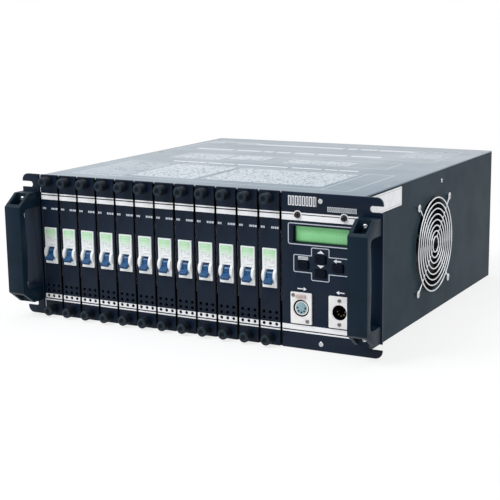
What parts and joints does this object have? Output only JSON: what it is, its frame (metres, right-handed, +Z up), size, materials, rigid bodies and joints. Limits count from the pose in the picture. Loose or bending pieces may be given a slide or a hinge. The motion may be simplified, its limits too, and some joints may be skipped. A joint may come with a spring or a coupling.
{
  "type": "dimmer pack",
  "caption": "Rack-mount stage dimmer pack: pull-out dimmer modules with breakers beside a control bay, in a sheet-steel case with handles, rack ears and a side fan.",
  "frame": {"origin": "on the supporting surface, under the middle of the whole pack's bounding box, handles and cable gland counted", "axes": "+X to the right seen from the front, where the control bay is; +Y to the back, along the case's depth; +Z up"},
  "size_m": [0.4826, 0.512, 0.1773],
  "materials": {
    "case_paint": "fine textured dark slate powder coat",
    "front_paint": "satin near-black paint with white stripes printed on it",
    "frame_steel": "zinc-plated steel",
    "board": "glass-fibre circuit board",
    "display_green": "lit green display behind a dark frame",
    "black_plastic": "black button plastic",
    "handle_plastic": "black moulded plastic, lightly textured",
    "connector_metal": "nickel-plated die casting",
    "fan_plastic": "black fan plastic",
    "guard_wire": "bright chromed wire",
    "gland_plastic": "dark grey moulded plastic",
    "breaker_plastic": "white moulded plastic with a pale green label band",
    "lever_plastic": "blue moulded plastic"
  },
  "bodies": {
    "chassis": {"chassis_tray": "case_paint", "top_cover": "case_paint", "rear_panel": "case_paint", "card_frame": "frame_steel", "backplane": "board", "left_ear": "front_paint", "control_panel": "front_paint", "control_board": "board", "display": "display_green", "output_socket": "connector_metal", "input_plug": "connector_metal", "left_handle": "handle_plastic", "right_handle": "handle_plastic", "fan_frame": "fan_plastic", "fan_guard": "guard_wire", "supply_gland": "gland_plastic", "outlet_connector_a": "gland_plastic", "outlet_connector_b": "gland_plastic"},
    "fan": {"fan_rotor": "fan_plastic"},
    "latch": {"socket_latch": "connector_metal"},
    "menu_key": {"menu_button": "black_plastic"},
    "up_key": {"up_button": "black_plastic"},
    "down_key": {"down_button": "black_plastic"},
    "escape_key": {"escape_button": "black_plastic"},
    "module_01": {"dimmer_module_01": "front_paint", "breaker_01": "breaker_plastic"},
    "module_02": {"dimmer_module_02": "front_paint", "breaker_02": "breaker_plastic"},
    "module_03": {"dimmer_module_03": "front_paint", "breaker_03": "breaker_plastic"},
    "module_04": {"dimmer_module_04": "front_paint", "breaker_04": "breaker_plastic"},
    "module_05": {"dimmer_module_05": "front_paint", "breaker_05": "breaker_plastic"},
    "module_06": {"dimmer_module_06": "front_paint", "breaker_06": "breaker_plastic"},
    "module_07": {"dimmer_module_07": "front_paint", "breaker_07": "breaker_plastic"},
    "module_08": {"dimmer_module_08": "front_paint", "breaker_08": "breaker_plastic"},
    "module_09": {"dimmer_module_09": "front_paint", "breaker_09": "breaker_plastic"},
    "module_10": {"dimmer_module_10": "front_paint", "breaker_10": "breaker_plastic"},
    "module_11": {"dimmer_module_11": "front_paint", "breaker_11": "breaker_plastic"},
    "module_12": {"dimmer_module_12": "front_paint", "breaker_12": "breaker_plastic"},
    "lever_01": {"breaker_lever_01": "lever_plastic"},
    "lever_02": {"breaker_lever_02": "lever_plastic"},
    "lever_03": {"breaker_lever_03": "lever_plastic"},
    "lever_04": {"breaker_lever_04": "lever_plastic"},
    "lever_05": {"breaker_lever_05": "lever_plastic"},
    "lever_06": {"breaker_lever_06": "lever_plastic"},
    "lever_07": {"breaker_lever_07": "lever_plastic"},
    "lever_08": {"breaker_lever_08": "lever_plastic"},
    "lever_09": {"breaker_lever_09": "lever_plastic"},
    "lever_10": {"breaker_lever_10": "lever_plastic"},
    "lever_11": {"breaker_lever_11": "lever_plastic"},
    "lever_12": {"breaker_lever_12": "lever_plastic"}
  },
  "joints": [
    {"name": "fan_spin", "type": "hinge", "parent": "chassis", "child": "fan", "pos_m": [0.2017, 0.003, 0.086], "axis": [1, 0, 0], "continuous": true},
    {"name": "latch_press", "type": "slide", "parent": "chassis", "child": "latch", "axis": [0, 1, 0], "range_m": [0, 0.001], "stiffness_N_per_m": 400},
    {"name": "menu_press", "type": "slide", "parent": "chassis", "child": "menu_key", "axis": [0, 1, 0], "range_m": [0, 0.001], "stiffness_N_per_m": 400},
    {"name": "up_press", "type": "slide", "parent": "chassis", "child": "up_key", "axis": [0, 1, 0], "range_m": [0, 0.001], "stiffness_N_per_m": 400},
    {"name": "down_press", "type": "slide", "parent": "chassis", "child": "down_key", "axis": [0, 1, 0], "range_m": [0, 0.001], "stiffness_N_per_m": 400},
    {"name": "escape_press", "type": "slide", "parent": "chassis", "child": "escape_key", "axis": [0, 1, 0], "range_m": [0, 0.001], "stiffness_N_per_m": 400},
    {"name": "module_01_slide", "type": "slide", "parent": "chassis", "child": "module_01", "axis": [0, -1, 0], "range_m": [0, 0.19]},
    {"name": "module_02_slide", "type": "slide", "parent": "chassis", "child": "module_02", "axis": [0, -1, 0], "range_m": [0, 0.19]},
    {"name": "module_03_slide", "type": "slide", "parent": "chassis", "child": "module_03", "axis": [0, -1, 0], "range_m": [0, 0.19]},
    {"name": "module_04_slide", "type": "slide", "parent": "chassis", "child": "module_04", "axis": [0, -1, 0], "range_m": [0, 0.19]},
    {"name": "module_05_slide", "type": "slide", "parent": "chassis", "child": "module_05", "axis": [0, -1, 0], "range_m": [0, 0.19]},
    {"name": "module_06_slide", "type": "slide", "parent": "chassis", "child": "module_06", "axis": [0, -1, 0], "range_m": [0, 0.19]},
    {"name": "module_07_slide", "type": "slide", "parent": "chassis", "child": "module_07", "axis": [0, -1, 0], "range_m": [0, 0.19]},
    {"name": "module_08_slide", "type": "slide", "parent": "chassis", "child": "module_08", "axis": [0, -1, 0], "range_m": [0, 0.19]},
    {"name": "module_09_slide", "type": "slide", "parent": "chassis", "child": "module_09", "axis": [0, -1, 0], "range_m": [0, 0.19]},
    {"name": "module_10_slide", "type": "slide", "parent": "chassis", "child": "module_10", "axis": [0, -1, 0], "range_m": [0, 0.19]},
    {"name": "module_11_slide", "type": "slide", "parent": "chassis", "child": "module_11", "axis": [0, -1, 0], "range_m": [0, 0.19]},
    {"name": "module_12_slide", "type": "slide", "parent": "chassis", "child": "module_12", "axis": [0, -1, 0], "range_m": [0, 0.19]},
    {"name": "lever_01_turn", "type": "hinge", "parent": "module_01", "child": "lever_01", "pos_m": [-0.2006, -0.2125, 0.0803], "axis": [-1, 0, 0], "range_deg": [0, 64]},
    {"name": "lever_02_turn", "type": "hinge", "parent": "module_02", "child": "lever_02", "pos_m": [-0.1728, -0.2125, 0.0803], "axis": [-1, 0, 0], "range_deg": [0, 64]},
    {"name": "lever_03_turn", "type": "hinge", "parent": "module_03", "child": "lever_03", "pos_m": [-0.145, -0.2125, 0.0803], "axis": [-1, 0, 0], "range_deg": [0, 64]},
    {"name": "lever_04_turn", "type": "hinge", "parent": "module_04", "child": "lever_04", "pos_m": [-0.1172, -0.2125, 0.0803], "axis": [-1, 0, 0], "range_deg": [0, 64]},
    {"name": "lever_05_turn", "type": "hinge", "parent": "module_05", "child": "lever_05", "pos_m": [-0.0894, -0.2125, 0.0803], "axis": [-1, 0, 0], "range_deg": [0, 64]},
    {"name": "lever_06_turn", "type": "hinge", "parent": "module_06", "child": "lever_06", "pos_m": [-0.0616, -0.2125, 0.0803], "axis": [-1, 0, 0], "range_deg": [0, 64]},
    {"name": "lever_07_turn", "type": "hinge", "parent": "module_07", "child": "lever_07", "pos_m": [-0.0338, -0.2125, 0.0803], "axis": [-1, 0, 0], "range_deg": [0, 64]},
    {"name": "lever_08_turn", "type": "hinge", "parent": "module_08", "child": "lever_08", "pos_m": [-0.006, -0.2125, 0.0803], "axis": [-1, 0, 0], "range_deg": [0, 64]},
    {"name": "lever_09_turn", "type": "hinge", "parent": "module_09", "child": "lever_09", "pos_m": [0.0218, -0.2125, 0.0803], "axis": [-1, 0, 0], "range_deg": [0, 64]},
    {"name": "lever_10_turn", "type": "hinge", "parent": "module_10", "child": "lever_10", "pos_m": [0.0496, -0.2125, 0.0803], "axis": [-1, 0, 0], "range_deg": [0, 64]},
    {"name": "lever_11_turn", "type": "hinge", "parent": "module_11", "child": "lever_11", "pos_m": [0.0774, -0.2125, 0.0803], "axis": [-1, 0, 0], "range_deg": [0, 64]},
    {"name": "lever_12_turn", "type": "hinge", "parent": "module_12", "child": "lever_12", "pos_m": [0.1052, -0.2125, 0.0803], "axis": [-1, 0, 0], "range_deg": [0, 64]}
  ]
}
